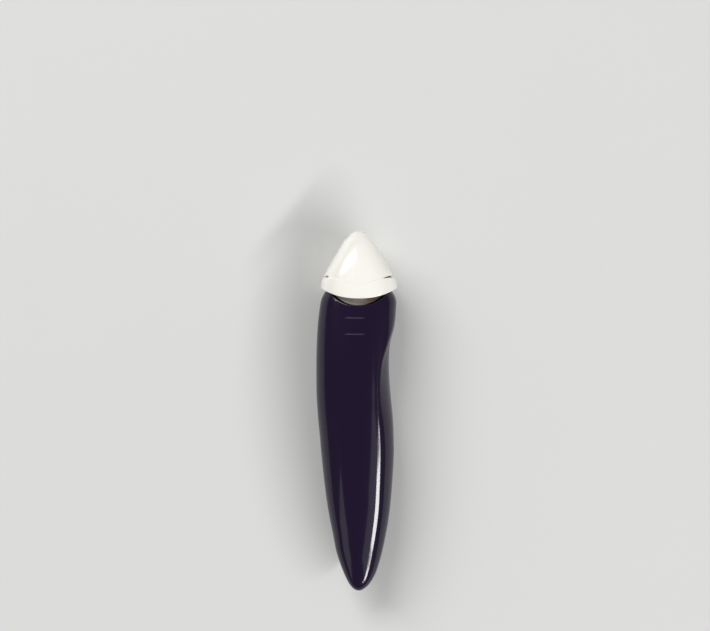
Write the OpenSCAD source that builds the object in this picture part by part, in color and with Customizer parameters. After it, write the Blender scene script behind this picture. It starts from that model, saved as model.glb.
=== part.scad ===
// Chalk wheel marker: a sculpted handle, a plug-in chalk cartridge with a toothed
// wheel in its nose, and a push-on cap. It lies on its back with the front face up.
// +Y points from the tail to the wheel, +Z out of the front face, +X to the right.

/* [Handle] */
// Length of the handle from the tail to the tips of the shoulder ears
body_len = 90; // [84:1:100]
// Greatest width of the handle
body_w = 23.8; // [22.6:0.2:26]
// Depth of the handle from the resting land to the front face
body_h = 19.6; // [19:0.2:22]
// Wall of the two handle shells
shell_wall = 1.8; // [1.4:0.1:2.2]
// Solid plastic at the tail before the hollow starts
tail_wall = 5; // [4:0.5:9]
// Depth of the finger scoop in the right flank
scoop_depth = 2.4; // [2:0.1:3.4]
// Dip of the shoulder line at the middle of the front face
front_dip = 4.8; // [3:0.1:5.5]
// Dip of the shoulder line at the middle of the back
back_dip = 3.4; // [2.8:0.1:4]
// Height that is taken off the back's crown to make the resting land
land_cut = 0.3; // [0.2:0.05:0.5]

/* [Cap] */
// Length of the cap from its apex to the middle of its rim
cap_len = 20.2; // [19.6:0.1:24]
// Wall of the cap
cap_wall = 1.1; // [0.8:0.05:1.1]
// Space between the cap's inside and the handle's shoulder
cap_gap = 0.3; // [0.25:0.05:0.3]
// Rise of the cap's rim from the middle to the sides
rim_rise = 3; // [2:0.1:4]
// Height of the grip band at the sides, from the rim to the slit
band_h = 3; // [2.4:0.1:3.6]
// How far the grip band stands out at the sides
band_out = 0.4; // [0.3:0.05:0.9]
// Width of the rounding along the band's two edges
band_round = 0.4; // [0.2:0.05:0.8]
// Height of the side slits
slit_h = 0.7; // [0.4:0.05:1]
// Depth of the side slits
slit_depth = 0.7; // [0.3:0.05:0.8]
// Draft of the slits' walls
slit_draft = 0.1; // [0.05:0.01:0.15]
// Visible strip of nose between the shoulder line and the cap's rim
rim_show = 2.2; // [1:0.1:3]

/* [Nose] */
// Length of the nose from the ears' tips to its end
nose_len = 10.3; // [9.8:0.1:11.5]
// Offset of the cartridge from the middle of the handle's width
axis_x = 0.4; // [0:0.1:0.6]
// Length of the nose's spigot inside the handle, behind the ears' tips
spigot_len = 9.2; // [8:0.2:12]
// Open seam between the handle and the nose
seam = 0.2; // [0.1:0.05:0.3]
// Depth of the neck that is cut round the nose between the handle and the cap
neck_depth = 1.2; // [0.6:0.1:1.5]
// Distance that the neck runs in under the cap's rim
neck_under = 0.5; // [0.3:0.1:0.8]
// Height of the step from the neck up to the nose
neck_rise = 0.5; // [0.3:0.1:0.8]
// Distance from the ears' tips to the wheel fork's seat
seat_out = 0.8; // [0.2:0.1:1.2]

/* [Wheel] */
// Radius of the wheel at its tooth tips
wheel_r = 4.8; // [4.2:0.1:5]
// Thickness of the wheel's toothed disc
wheel_t = 0.8; // [0.5:0.1:1]
// How far the wheel stands out of the nose
wheel_out = 1; // [0.6:0.1:1.4]
// Number of teeth
teeth = 28; // [20:1:36]
// Depth of a tooth
tooth_depth = 0.6; // [0.3:0.05:0.8]
// Radius of the wheel's hub
hub_r = 1.6; // [1.4:0.1:2]
// Width of the hub
hub_w = 1.2; // [1:0.1:1.4]
// Radius of the steel axle
axle_r = 0.8; // [0.6:0.05:0.9]
// Thickness of one cheek of the fork
cheek_t = 1.2; // [0.8:0.1:1.4]
// Radius of the fork's rounded cheek ends
cheek_r = 2; // [1.7:0.1:2.2]
// Thickness of the fork's base disc
fork_base_t = 1.6; // [1:0.1:2.4]
// Radius of the chalk passage through the fork's base and the container's mouth
mouth_r = 1.5; // [1:0.1:2]

/* [Chalk container] */
// Outer radius of the container
container_r = 4.6; // [4.3:0.1:4.8]
// Length of the container
container_len = 37; // [32:1:42]
// Wall of the container
container_wall = 0.8; // [0.6:0.1:1.2]
// Length of the plug inside the container
plug_len = 3.2; // [2:0.2:5]
// Thickness of the plug's head
plug_head_t = 1.2; // [0.8:0.1:2]

/* [Sleeve] */
// Wall of the sleeve that guides the container
sleeve_wall = 1; // [0.8:0.1:1.2]
// Thickness of the sleeve's locating flanges
flange_t = 1.8; // [1.2:0.1:2.6]

/* [Fits] */
// Radial clearance of the container in the sleeve
slide_gap = 0.06; // [0.03:0.01:0.1]
// Radial clearance of the wheel on its axle
wheel_gap = 0.05; // [0.02:0.01:0.1]
// Side play of the hub between the cheeks, each side
hub_gap = 0.06; // [0.03:0.01:0.1]
// Space between the wheel and the slot it turns in
slot_gap = 0.35; // [0.25:0.05:0.45]
// Space of seated pieces that don't move against each other
seat_gap = 0.02; // [0.01:0.01:0.04]
// Space between the sleeve or the spigot and the shells
nest_gap = 0.3; // [0.2:0.05:0.35]
// Space behind the plug
rear_gap = 0.5; // [0.3:0.1:1]

/* [Hidden] */
$fn = 48;

VIOLET = [0.16, 0.13, 0.24];
IVORY = [0.95, 0.94, 0.90];
WHITE = [0.93, 0.93, 0.92];
GREY = [0.72, 0.72, 0.74];
STEEL = [0.75, 0.76, 0.78];

// Squareness of the sections: 2 is an ellipse, more is boxier
SQUARE = 2.3;
// Small overlap that keeps joined solids and cuts clean
eps = 0.01;
// How far a cut runs past the face that it opens
past = 1;

rim_out = rim_show - front_dip;
overall_len = body_len + rim_out + cap_len;
tail_y = -overall_len / 2;
shoulder_y = tail_y + body_len;
axis_z = body_h / 2;
nose_tip_y = shoulder_y + nose_len;
seat_y = shoulder_y + seat_out;
container_front = seat_y - fork_base_t;
container_rear = container_front - container_len;
spigot_end = shoulder_y - spigot_len;
sleeve_front = spigot_end - nest_gap;
bore_end = container_rear - plug_head_t - rear_gap;
wheel_y = nose_tip_y + wheel_out - wheel_r;
fork_gap = hub_w + 2 * hub_gap;
fork_w = fork_gap + 2 * cheek_t;
slot_w = wheel_t + 2 * slot_gap;
apex_y = shoulder_y + rim_out + cap_len;
container_bore = container_r - container_wall;

// Outline of the handle from the tail: share of the length, then left edge, right
// edge and ridge line in shares of the half width, depth in shares of the half depth,
// and scoop in shares of its depth, all in percent
OUTLINE = [
    [0, 4, 4, 4, 0, 0],
    [0.5, -8, 15.5, 6, 13, 4],
    [2.2, -20, 31, 14.5, 26, 8],
    [6, -34.5, 48, 24.5, 39, 10],
    [13, -53, 64.5, 35, 56, 12],
    [19, -62, 74.5, 43, 67, 14],
    [25, -71, 82.5, 49, 76, 15],
    [31, -78.5, 87.5, 52.5, 83, 15],
    [38, -85, 91.5, 54.5, 90, 15],
    [45, -90.5, 94.5, 55.5, 95, 15],
    [51, -94.5, 95.5, 55.5, 98, 22],
    [58, -99.5, 96, 55, 100, 40],
    [64, -102.5, 96.5, 54.5, 100, 70],
    [70, -103.5, 96.5, 56.5, 100, 94],
    [76, -103.5, 96.5, 62.5, 99, 98],
    [82, -102.5, 97, 77, 97, 76],
    [88, -100, 98, 88, 93, 25],
    [93, -96, 98, 90, 89, 5],
    [97, -90.5, 97, 88, 85.5, 0],
    [100, -79, 86, 80, 82, 0]
];
// Nose from its tip: share of its length, then half width and half depth in shares
// of the shoulder's, all in percent
NOSE_LINE = [[0, 0, 0], [3, 14, 20], [12, 32, 44], [30, 53, 68], [60, 78, 88], [100, 100, 100]];
// Cap from its apex: share of its length, then half width and half depth in percent
CAP_LINE = [
    [0, 0, 0], [3, 18.5, 27], [7, 26, 40], [16, 41, 60], [29, 55.5, 76],
    [45, 72, 89.5], [61, 88, 96.5], [72, 94.5, 99], [86, 99.5, 100], [100, 100, 100]
];

// Section angles where the grid has to hold a point: the right and left edges of the
// parting plane, the front crown and the foot of the scoop on the back
FRONT = 90;
LEFT = 180;
SCOOP_FOOT = 295;
RIGHT = 360;

// Steepness of the shoulder line's parabola: above 1 it levels off before the sides
EAR_BEND = 1.2;

RINGS = 40;
SKIN_POINTS = 40;
NOSE_RINGS = 13;
CAP_RINGS = 14;

// Tables keyed by the root of the share, so that round ends have even points
function rooted(table) = [
    for (row = table) [for (c = [0:len(row) - 1]) c == 0 ? sqrt(row[0] / 100) : row[c] / 100]
];
OUTLINE_ROOTED = rooted(OUTLINE);
NOSE_ROOTED = rooted(NOSE_LINE);
CAP_ROOTED = rooted(CAP_LINE);

// Row of the table that starts the stretch holding key k
function row_at(table, k, i = 0) =
    i >= len(table) - 2 || table[i + 1][0] >= k ? i : row_at(table, k, i + 1);

// Smooth curve through column c of a rooted table, at a share of the length
function curve(table, c, share) =
    let (k = sqrt(max(share, 0)), i = row_at(table, k), last = len(table) - 1)
    let (p0 = table[max(i - 1, 0)], p1 = table[i], p2 = table[i + 1], p3 = table[min(i + 2, last)])
    let (w = p2[0] - p1[0], u = (k - p1[0]) / w)
    let (m1 = w * (p2[c] - p0[c]) / (p2[0] - p0[0]), m2 = w * (p3[c] - p1[c]) / (p3[0] - p1[0]))
    (2 * pow(u, 3) - 3 * pow(u, 2) + 1) * p1[c] + (pow(u, 3) - 2 * pow(u, 2) + u) * m1
    + (3 * pow(u, 2) - 2 * pow(u, 3)) * p2[c] + (pow(u, 3) - pow(u, 2)) * m2;

// A power that keeps the sign, for the rounded-square sections
function bent(v, p) = sign(v) * pow(abs(v), p);
function square_x(a) = bent(cos(a), 2 / SQUARE);
function square_z(a) = bent(sin(a), 2 / SQUARE);
// Smooth step from 0 to 1 while v runs from a to b
function ease(v, a, b) = let (u = min(max((v - a) / (b - a), 0), 1)) u * u * (3 - 2 * u);

// Handle at a share of its length: middle, edges, ridge angle
function left_x(s) = body_w / 2 * curve(OUTLINE_ROOTED, 1, s);
function right_x(s) = body_w / 2 * curve(OUTLINE_ROOTED, 2, s);
function middle_x(s) = (left_x(s) + right_x(s)) / 2;
function ridge_x(s) = body_w / 2 * curve(OUTLINE_ROOTED, 3, s);
function half_depth(s) = body_h / 2 * curve(OUTLINE_ROOTED, 4, s);
function ridge_share(s) = min((ridge_x(s) - middle_x(s)) / (right_x(s) - middle_x(s)), 0.99);
function ridge_angle(s) = acos(pow(max(ridge_share(s), 0.1), SQUARE / 2));

// Scoop under the ridge: a sharp edge at the ridge that fades out on the back
function scoop_shape(a, ridge) =
    let (turn = a > LEFT ? a - RIGHT : a, u = (ridge - turn) / (ridge + RIGHT - SCOOP_FOOT))
    u <= 0 || u >= 1 ? 0 : 6.75 * u * pow(1 - u, 2);

// Extra depth of the back, which the resting land cuts off; it fades before the shoulder
function back_crown(s) = land_cut * curve(OUTLINE_ROOTED, 4, s) * (1 - ease(s, 0.78, 0.93));

// Point of the handle's surface at share s and section angle a
function handle_point(s, a) =
    let (mid = middle_x(s), half_w = (right_x(s) - left_x(s)) / 2)
    let (sunk = scoop_depth * curve(OUTLINE_ROOTED, 5, s) * scoop_shape(a, ridge_angle(s)))
    let (deep = half_depth(s) + (a > LEFT ? back_crown(s) : 0))
    [mid + half_w * square_x(a) - sunk, tail_y + body_len * s, max(axis_z + deep * square_z(a), 0)];

// The same point moved towards the middle of its section
function inset_point(s, a, d) =
    let (p = handle_point(s, a), c = [middle_x(s), p[1], axis_z])
    let (r = norm(p - c))
    c + (p - c) * max(1 - d / max(r, eps), 0);

// A parabola that levels off near 1, and the shoulder line's rise towards the ears by it
function levelled(r) = r / pow(1 + pow(r, 8), 1 / 8);
function ear_rise(a) = levelled(EAR_BEND * pow(square_x(a), 2)) / levelled(EAR_BEND);
// Dip of the shoulder line at a section angle, and how far rings follow it
function shoulder_dip(a) = (a > LEFT ? back_dip : front_dip) * (1 - ear_rise(a));
function followed(s, a) = s - shoulder_dip(a) / body_len * pow(ease(s, 0.6, 1), 2);

// Section angles of a ring: even steps between the angles that have to be met
function steps(a, b, n) = [for (i = [0:n - 1]) a + (b - a) * i / n];
function front_angles(s) = concat(
    steps(0, ridge_angle(s), 6), steps(ridge_angle(s), FRONT, 6), steps(FRONT, LEFT, 9), [LEFT]
);
BACK_ANGLES = concat(steps(LEFT, SCOOP_FOOT, 10), steps(SCOOP_FOOT, RIGHT, 7), [RIGHT]);
SKIN_ANGLES = steps(0, RIGHT, SKIN_POINTS);

// Ring shares crowd towards the tail, where the handle is round
function ring_share(k) = pow(k / RINGS, 1.5);
first_inner = ceil(RINGS * pow(tail_wall / body_len, 1 / 1.5));

// One half of the handle, from a list of rings of outer and inner points
module half_shell(front) {
    shares = [for (k = [1:RINGS]) ring_share(k)];
    angles = [for (s = shares) front ? front_angles(s) : BACK_ANGLES];
    last = len(angles[0]) - 1;
    n = last + 1;
    outer = [for (k = [0:RINGS - 1]) for (a = angles[k]) handle_point(followed(shares[k], a), a)];
    inner = [
        for (k = [first_inner:RINGS - 1]) for (a = angles[k])
            inset_point(followed(shares[k], a), a, shell_wall)
    ];
    tip = [[middle_x(0), tail_y, axis_z]];
    function out(k, j) = 1 + k * n + j;
    function inn(k, j) = 1 + len(outer) + (k - first_inner) * n + j;
    tail_faces = [for (j = [0:last - 1]) [0, out(0, j + 1), out(0, j)]];
    outer_faces = [
        for (k = [0:RINGS - 2]) for (j = [0:last - 1])
            each [
                [out(k, j), out(k, j + 1), out(k + 1, j + 1)],
                [out(k, j), out(k + 1, j + 1), out(k + 1, j)]
            ]
    ];
    inner_faces = [
        for (k = [first_inner:RINGS - 2]) for (j = [0:last - 1])
            each [
                [inn(k, j), inn(k + 1, j + 1), inn(k, j + 1)],
                [inn(k, j), inn(k + 1, j), inn(k + 1, j + 1)]
            ]
    ];
    hollow_end = [
        for (j = [1:last - 1]) [inn(first_inner, 0), inn(first_inner, j), inn(first_inner, j + 1)]
    ];
    m = RINGS - 1;
    mouth_faces = [
        for (j = [0:last - 1])
            each [[out(m, j), out(m, j + 1), inn(m, j + 1)], [out(m, j), inn(m, j + 1), inn(m, j)]]
    ];
    parting_faces = [
        for (k = [first_inner:RINGS - 2])
            each [
                [out(k, 0), out(k + 1, 0), inn(k + 1, 0)], [out(k, 0), inn(k + 1, 0), inn(k, 0)],
                [out(k, last), inn(k + 1, last), out(k + 1, last)],
                [out(k, last), inn(k, last), inn(k + 1, last)]
            ]
    ];
    tail_parting = [
        for (k = [0:first_inner - 2])
            each [
                [out(k, 0), out(k + 1, 0), out(k + 1, last)],
                [out(k, 0), out(k + 1, last), out(k, last)]
            ]
    ];
    f = first_inner;
    hollow_parting = [
        [out(f - 1, 0), out(f, 0), inn(f, 0)], [out(f - 1, 0), inn(f, 0), inn(f, last)],
        [out(f - 1, 0), inn(f, last), out(f, last)], [out(f - 1, 0), out(f, last), out(f - 1, last)]
    ];
    polyhedron(concat(tip, outer, inner), concat(
        tail_faces, outer_faces, inner_faces, hollow_end, mouth_faces, parting_faces,
        [[0, out(0, 0), out(0, last)]], [for (i = [0:2 * f - 3]) tail_parting[i]], hollow_parting
    ));
}

// A closed skin over rings of equal point count, between two end points
module skin(first, rings, end) {
    n = len(rings[0]);
    count = len(rings);
    function at(k, j) = 1 + k * n + j % n;
    polyhedron(
        concat([first], [for (ring = rings) each ring], [end]),
        concat(
            [for (j = [0:n - 1]) [0, at(0, j), at(0, j + 1)]],
            [
                for (k = [0:count - 2]) for (j = [0:n - 1])
                    each [[at(k, j), at(k + 1, j), at(k + 1, j + 1)],
                          [at(k, j), at(k + 1, j + 1), at(k, j + 1)]]
            ],
            [for (j = [0:n - 1]) [1 + count * n, at(count - 1, j + 1), at(count - 1, j)]]
        )
    );
}

// Point of the nose: the handle's own surface up to the ears' tips, then its taper,
// sunk by d towards the middle
function nose_point(y, a, d) =
    let (s = (y - tail_y) / body_len, t = (nose_tip_y - y) / nose_len)
    let (half_w = (right_x(1) - left_x(1)) / 2, mid = middle_x(1))
    let (wide = curve(NOSE_ROOTED, 1, t), deep = curve(NOSE_ROOTED, 2, t))
    s <= 1 ? inset_point(s, a, d)
           : [mid + (half_w * wide - d) * square_x(a), y,
              axis_z + (half_depth(1) * deep - d) * square_z(a)];

function seam_y(a) = shoulder_y - shoulder_dip(a) + seam;
// Upper end of the neck, hidden under the cap's rim
function neck_y(a) = max(apex_y - rim_depth(a) + neck_under, seam_y(a) + neck_rise);
function nose_ring(k) = [
    for (a = SKIN_ANGLES)
        let (foot = neck_y(a) + neck_rise)
        nose_point(nose_tip_y + (foot - nose_tip_y) * pow(k / NOSE_RINGS, 2), a, 0)
];
// The spigot keeps the mouth's section along its whole length, so that it pulls out
function spigot_point(y, a) =
    let (p = inset_point((seam_y(a) - tail_y) / body_len, a, shell_wall + nest_gap)) [p[0], y, p[2]];

// Cylinder along Y on the cartridge's axis
module rod_y(r, y0, y1) {
    translate([axis_x, y0, axis_z]) rotate([-90, 0, 0]) cylinder(r = r, h = y1 - y0);
}

// Cylinder along X on the wheel's axis, centred on the cartridge
module rod_x(r, w) {
    translate([axis_x - w / 2, wheel_y, axis_z]) rotate([0, 90, 0]) cylinder(r = r, h = w);
}

// Box centred on the cartridge's axis
module box_y(w, y0, y1, h) {
    translate([axis_x - w / 2, y0, axis_z - h / 2]) cube([w, y1 - y0, h]);
}

module front_shell() {
    color(VIOLET) half_shell(true);
}

module back_shell() {
    color(VIOLET) half_shell(false);
}

// Plate that fills the hollow of the shells around the sleeve
module flange(y0) {
    s = (y0 + flange_t / 2 - tail_y) / body_len;
    outline = [for (a = SKIN_ANGLES) let (p = inset_point(s, a, shell_wall + nest_gap)) [p[0], p[2]]];
    translate([0, y0 + flange_t, 0]) rotate([90, 0, 0]) linear_extrude(flange_t) polygon(outline);
}

module cartridge_sleeve() {
    color(GREY) difference() {
        union() {
            rod_y(container_r + slide_gap + sleeve_wall, bore_end - flange_t + eps, sleeve_front - eps);
            flange(sleeve_front - flange_t);
            flange(bore_end - flange_t);
        }
        rod_y(container_r + slide_gap, bore_end, sleeve_front + past);
    }
}

module nose() {
    rings = concat(
        [for (k = [1:NOSE_RINGS]) nose_ring(k)],
        [[for (a = SKIN_ANGLES) nose_point(neck_y(a), a, neck_depth)]],
        [[for (a = SKIN_ANGLES) nose_point(seam_y(a), a, neck_depth)]],
        [[for (a = SKIN_ANGLES) spigot_point(seam_y(a), a)]],
        [[for (a = SKIN_ANGLES) spigot_point(spigot_end, a)]]
    );
    color(WHITE) difference() {
        skin([middle_x(1), nose_tip_y, axis_z], rings, [middle_x(1), spigot_end, axis_z]);
        rod_y(container_r + seat_gap, spigot_end - past, seat_y);
        box_y(fork_w + 2 * seat_gap, seat_y - eps, wheel_y, 2 * (cheek_r + seat_gap));
        rod_x(cheek_r + seat_gap, fork_w + 2 * seat_gap);
        rod_x(wheel_r + slot_gap, slot_w);
    }
}

module wheel_fork() {
    color(WHITE) difference() {
        union() {
            rod_y(container_r, container_front, seat_y);
            box_y(fork_w, container_front + eps, wheel_y, 2 * cheek_r);
            rod_x(cheek_r, fork_w);
        }
        box_y(fork_gap, seat_y, nose_tip_y, 2 * cheek_r + past);
        rod_x(wheel_r + slot_gap, slot_w);
        rod_x(axle_r, fork_w + past);
        rod_y(mouth_r, container_front - past, seat_y + past);
    }
}

module wheel_axle() {
    color(STEEL) rod_x(axle_r, fork_w);
}

module toothed_wheel() {
    pitch = 360 / teeth;
    root_r = wheel_r - tooth_depth;
    outline = [
        for (i = [0:teeth - 1])
            each [
                wheel_r * [cos(i * pitch), sin(i * pitch)],
                root_r * [cos((i + 0.5) * pitch), sin((i + 0.5) * pitch)]
            ]
    ];
    color(STEEL) difference() {
        union() {
            translate([axis_x - wheel_t / 2, wheel_y, axis_z])
                rotate([90, 0, 90]) linear_extrude(wheel_t) polygon(outline);
            rod_x(hub_r, hub_w);
        }
        rod_x(axle_r + wheel_gap, hub_w + past);
    }
}

module chalk_container() {
    color(GREY) difference() {
        rod_y(container_r, container_rear, container_front);
        rod_y(container_bore, container_rear - past, container_front - container_wall);
        rod_y(mouth_r, container_front - container_wall - past, container_front + past);
    }
}

module container_plug() {
    color("dimgray") union() {
        rod_y(container_bore, container_rear - eps, container_rear + plug_len);
        rod_y(container_r - 2 * slide_gap, container_rear - plug_head_t, container_rear);
    }
}

module chalk_powder() {
    color("white") rod_y(container_bore - seat_gap, container_rear + plug_len + seat_gap,
                         container_front - container_wall - seat_gap);
}

// Half width and half depth of the cap at its rim, from the shoulder that it goes over
cap_half_w = (right_x(1) - left_x(1)) / 2 + cap_gap + cap_wall;
cap_half_h = half_depth(1 + rim_out / body_len) + cap_gap + cap_wall;

// Distance from the apex to the rim at a section angle
function rim_depth(a) = cap_len - rim_rise * pow(cos(a), 2);
// The band and the slit are strong at the sides and gone on the front and back
function side_part(a) = ease(abs(square_x(a)), 0.72, 0.95);
function cap_point(depth, a, grow) =
    let (wide = cap_half_w * curve(CAP_ROOTED, 1, depth / cap_len) + grow)
    let (deep = cap_half_h * curve(CAP_ROOTED, 2, depth / cap_len) + min(grow, 0))
    [axis_x + max(wide, 0) * square_x(a), apex_y - depth, axis_z + max(deep, 0) * square_z(a)];
// Depth of ring k of n between two depths, crowded towards the apex
function cap_depth(k, n, from, to) = from + (to - from) * pow(k / n, 2);

module protective_cap() {
    function slit_foot(a) = rim_depth(a) - band_h;
    function outer_ring(depths, grow) = [
        for (i = [0:SKIN_POINTS - 1])
            let (a = SKIN_ANGLES[i]) cap_point(depths[i], a, grow * side_part(a))
    ];
    function at_depth(lift) = [for (a = SKIN_ANGLES) slit_foot(a) + lift];
    dome = [
        for (k = [1:CAP_RINGS])
            outer_ring([for (a = SKIN_ANGLES) cap_depth(k, CAP_RINGS, 0, slit_foot(a) - slit_h)], 0)
    ];
    slit = [
        outer_ring(at_depth(slit_draft - slit_h), -slit_depth),
        outer_ring(at_depth(-slit_draft), -slit_depth)
    ];
    band = [
        outer_ring(at_depth(0), band_out * 0.7),
        outer_ring(at_depth(band_round), band_out),
        outer_ring(at_depth(band_h - band_round), band_out * 0.8),
        outer_ring(at_depth(band_h), band_out * 0.4)
    ];
    inside = [
        for (k = [CAP_RINGS:-1:1])
            [for (a = SKIN_ANGLES) cap_point(cap_depth(k, CAP_RINGS, cap_wall, rim_depth(a)), a, -cap_wall)]
    ];
    color(IVORY) skin([axis_x, apex_y, axis_z], concat(dome, slit, band, inside),
                      [axis_x, apex_y - cap_wall, axis_z]);
}

front_shell();
back_shell();
cartridge_sleeve();
nose();
wheel_fork();
wheel_axle();
toothed_wheel();
chalk_container();
container_plug();
chalk_powder();
protective_cap();
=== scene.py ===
import math

import bmesh
import bpy
import numpy as np
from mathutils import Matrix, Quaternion, Vector


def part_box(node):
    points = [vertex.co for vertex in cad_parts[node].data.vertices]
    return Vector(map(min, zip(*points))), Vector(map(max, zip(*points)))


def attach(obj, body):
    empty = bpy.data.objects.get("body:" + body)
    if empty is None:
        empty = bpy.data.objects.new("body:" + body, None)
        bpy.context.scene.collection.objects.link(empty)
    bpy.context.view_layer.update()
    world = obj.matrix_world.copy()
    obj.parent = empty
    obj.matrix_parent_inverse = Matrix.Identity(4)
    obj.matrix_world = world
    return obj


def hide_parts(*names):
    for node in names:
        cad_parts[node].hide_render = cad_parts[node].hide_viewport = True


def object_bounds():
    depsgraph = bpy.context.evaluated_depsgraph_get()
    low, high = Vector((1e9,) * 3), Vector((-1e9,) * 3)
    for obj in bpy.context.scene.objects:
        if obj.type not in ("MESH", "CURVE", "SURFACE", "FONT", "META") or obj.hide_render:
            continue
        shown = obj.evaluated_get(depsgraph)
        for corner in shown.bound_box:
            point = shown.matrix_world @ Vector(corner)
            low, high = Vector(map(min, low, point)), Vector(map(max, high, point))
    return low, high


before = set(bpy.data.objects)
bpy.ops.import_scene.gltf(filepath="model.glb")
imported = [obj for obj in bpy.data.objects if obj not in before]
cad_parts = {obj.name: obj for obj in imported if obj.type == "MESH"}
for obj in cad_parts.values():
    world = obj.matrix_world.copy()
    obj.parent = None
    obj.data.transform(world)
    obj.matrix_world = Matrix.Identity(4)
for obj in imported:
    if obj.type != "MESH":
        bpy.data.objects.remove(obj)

CAD_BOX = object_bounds()
MM = 0.001

# The view
# The marker lies on its back on a pale table and is seen from straight above, with the
# wheel end up in the picture. The picture's scale is the handle's: 3.34 pixels a millimetre.
PHOTO_WIDTH_PX = 710
PHOTO_HEIGHT_PX = 631
PX_PER_MM = 3.34
ORIGIN_PX = (357.4, 410.9)
CAMERA_HEIGHT = 0.9
SENSOR_MM = 36.0


def placed(name, data):
    """A new object in the scene for some data."""
    made = bpy.data.objects.new(name, data)
    bpy.context.collection.objects.link(made)
    return made


middle_height = (CAD_BOX[0][2] + CAD_BOX[1][2]) / 2
field_width = PHOTO_WIDTH_PX / PX_PER_MM * MM
lens = bpy.data.cameras.new("camera")
lens.sensor_width = SENSOR_MM
lens.lens = SENSOR_MM * (CAMERA_HEIGHT - middle_height) / field_width
lens.clip_start = 0.01
camera = placed("camera", lens)
camera.location = (
    (PHOTO_WIDTH_PX / 2 - ORIGIN_PX[0]) / PX_PER_MM * MM,
    (ORIGIN_PX[1] - PHOTO_HEIGHT_PX / 2) / PX_PER_MM * MM,
    CAMERA_HEIGHT,
)
bpy.context.scene.camera = camera
bpy.context.scene.view_settings.view_transform = "Standard"

# The lamps
# Soft light from the room and four lamps that all aim at the handle's middle: a long strip
# on the tail's right, which draws the streak along the ridge, a dim wide one above it for the
# glow beside the streak, a soft box on the wheel end's left, turned so that its highlight on
# the cap's dome ends short of the tip, and a faint one on the tail's left.
ROOM_LIGHT = 0.2
LAMP_DISTANCE = 2.0
STRIP = dict(azimuth=-40.0, elevation=38.0, along=2.2, across=0.15, radiance=26.0)
BOX = dict(azimuth=128.0, elevation=39.5, along=1.57, across=0.89, radiance=6.6, roll=-30.0)
GLOW = dict(azimuth=-40.0, elevation=54.0, along=1.6, across=0.75, radiance=0.62)
FAINT_BOX = dict(azimuth=-144.5, elevation=34.0, along=0.84, across=0.95, radiance=0.66)

world = bpy.data.worlds.new("room")
world.use_nodes = True
world.node_tree.nodes["Background"].inputs["Color"].default_value = (1.0, 1.0, 1.0, 1.0)
world.node_tree.nodes["Background"].inputs["Strength"].default_value = ROOM_LIGHT
bpy.context.scene.world = world


def soft_lamp(name, azimuth, elevation, along, across, radiance, roll=0.0):
    """A lamp at an azimuth from +X and an elevation; roll turns its level long side. Degrees."""
    turn, lift = math.radians(azimuth), math.radians(elevation)
    level = math.cos(lift)
    toward = Vector((level * math.cos(turn), level * math.sin(turn), math.sin(lift)))
    light = bpy.data.lights.new(name, "AREA")
    light.shape = "RECTANGLE"
    light.size = along
    light.size_y = across
    light.energy = radiance * math.pi * along * across
    lamp = placed(name, light)
    lamp.location = toward * LAMP_DISTANCE
    facing = (-toward).to_track_quat("-Z", "Y") @ Quaternion((0, 0, 1), math.radians(roll))
    lamp.rotation_euler = facing.to_euler()
    lamp.visible_camera = False


soft_lamp("strip_light", **STRIP)
soft_lamp("soft_box", **BOX)
soft_lamp("glow_light", **GLOW)
soft_lamp("faint_box", **FAINT_BOX)

# The table
# A plain pale laminate, slightly uneven in its sheen.
TABLE_SIZE = 5.0
TABLE_DROP = 0.0002
TABLE_COLOR = (0.7, 0.7, 0.69, 1.0)
TABLE_ROUGHNESS = (0.5, 0.62)
TABLE_PATCHES = 40.0
TABLE_GRAIN = 600.0
TABLE_GRAIN_DEPTH = 0.0002


def blank_material(name):
    """A new material with its nodes, its links and its surface shader."""
    material = bpy.data.materials.new(name)
    material.use_nodes = True
    nodes, links = material.node_tree.nodes, material.node_tree.links
    return material, nodes, links, nodes["Principled BSDF"]


def object_vector(nodes):
    return nodes.new("ShaderNodeTexCoord").outputs["Object"]


def noise_on(nodes, links, vector, scale, detail=2.0):
    noise = nodes.new("ShaderNodeTexNoise")
    noise.inputs["Scale"].default_value = scale
    noise.inputs["Detail"].default_value = detail
    links.new(vector, noise.inputs["Vector"])
    return noise.outputs["Fac"]


def spread(nodes, links, value, low, high):
    """Maps a 0 to 1 value to a range."""
    node = nodes.new("ShaderNodeMapRange")
    node.inputs["To Min"].default_value = low
    node.inputs["To Max"].default_value = high
    links.new(value, node.inputs["Value"])
    return node.outputs["Result"]


def bump_on(nodes, links, surface, height, strength, depth):
    """Bumps a surface by a height value, to a depth in metres."""
    bump = nodes.new("ShaderNodeBump")
    bump.inputs["Strength"].default_value = strength
    bump.inputs["Distance"].default_value = depth
    links.new(height, bump.inputs["Height"])
    links.new(bump.outputs["Normal"], surface.inputs["Normal"])


def laminate():
    material, nodes, links, surface = blank_material("pale_laminate")
    vector = object_vector(nodes)
    surface.inputs["Base Color"].default_value = TABLE_COLOR
    patches = noise_on(nodes, links, vector, TABLE_PATCHES)
    links.new(spread(nodes, links, patches, *TABLE_ROUGHNESS), surface.inputs["Roughness"])
    grain = noise_on(nodes, links, vector, TABLE_GRAIN)
    bump_on(nodes, links, surface, grain, 0.03, TABLE_GRAIN_DEPTH)
    return material


half = TABLE_SIZE / 2
table_mesh = bpy.data.meshes.new("table")
corners = ((-half, -half), (half, -half), (half, half), (-half, half))
table_mesh.from_pydata([(x, y, -TABLE_DROP) for x, y in corners], [], [(0, 1, 2, 3)])
table_mesh.materials.append(laminate())
table = placed("table", table_mesh)

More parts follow.
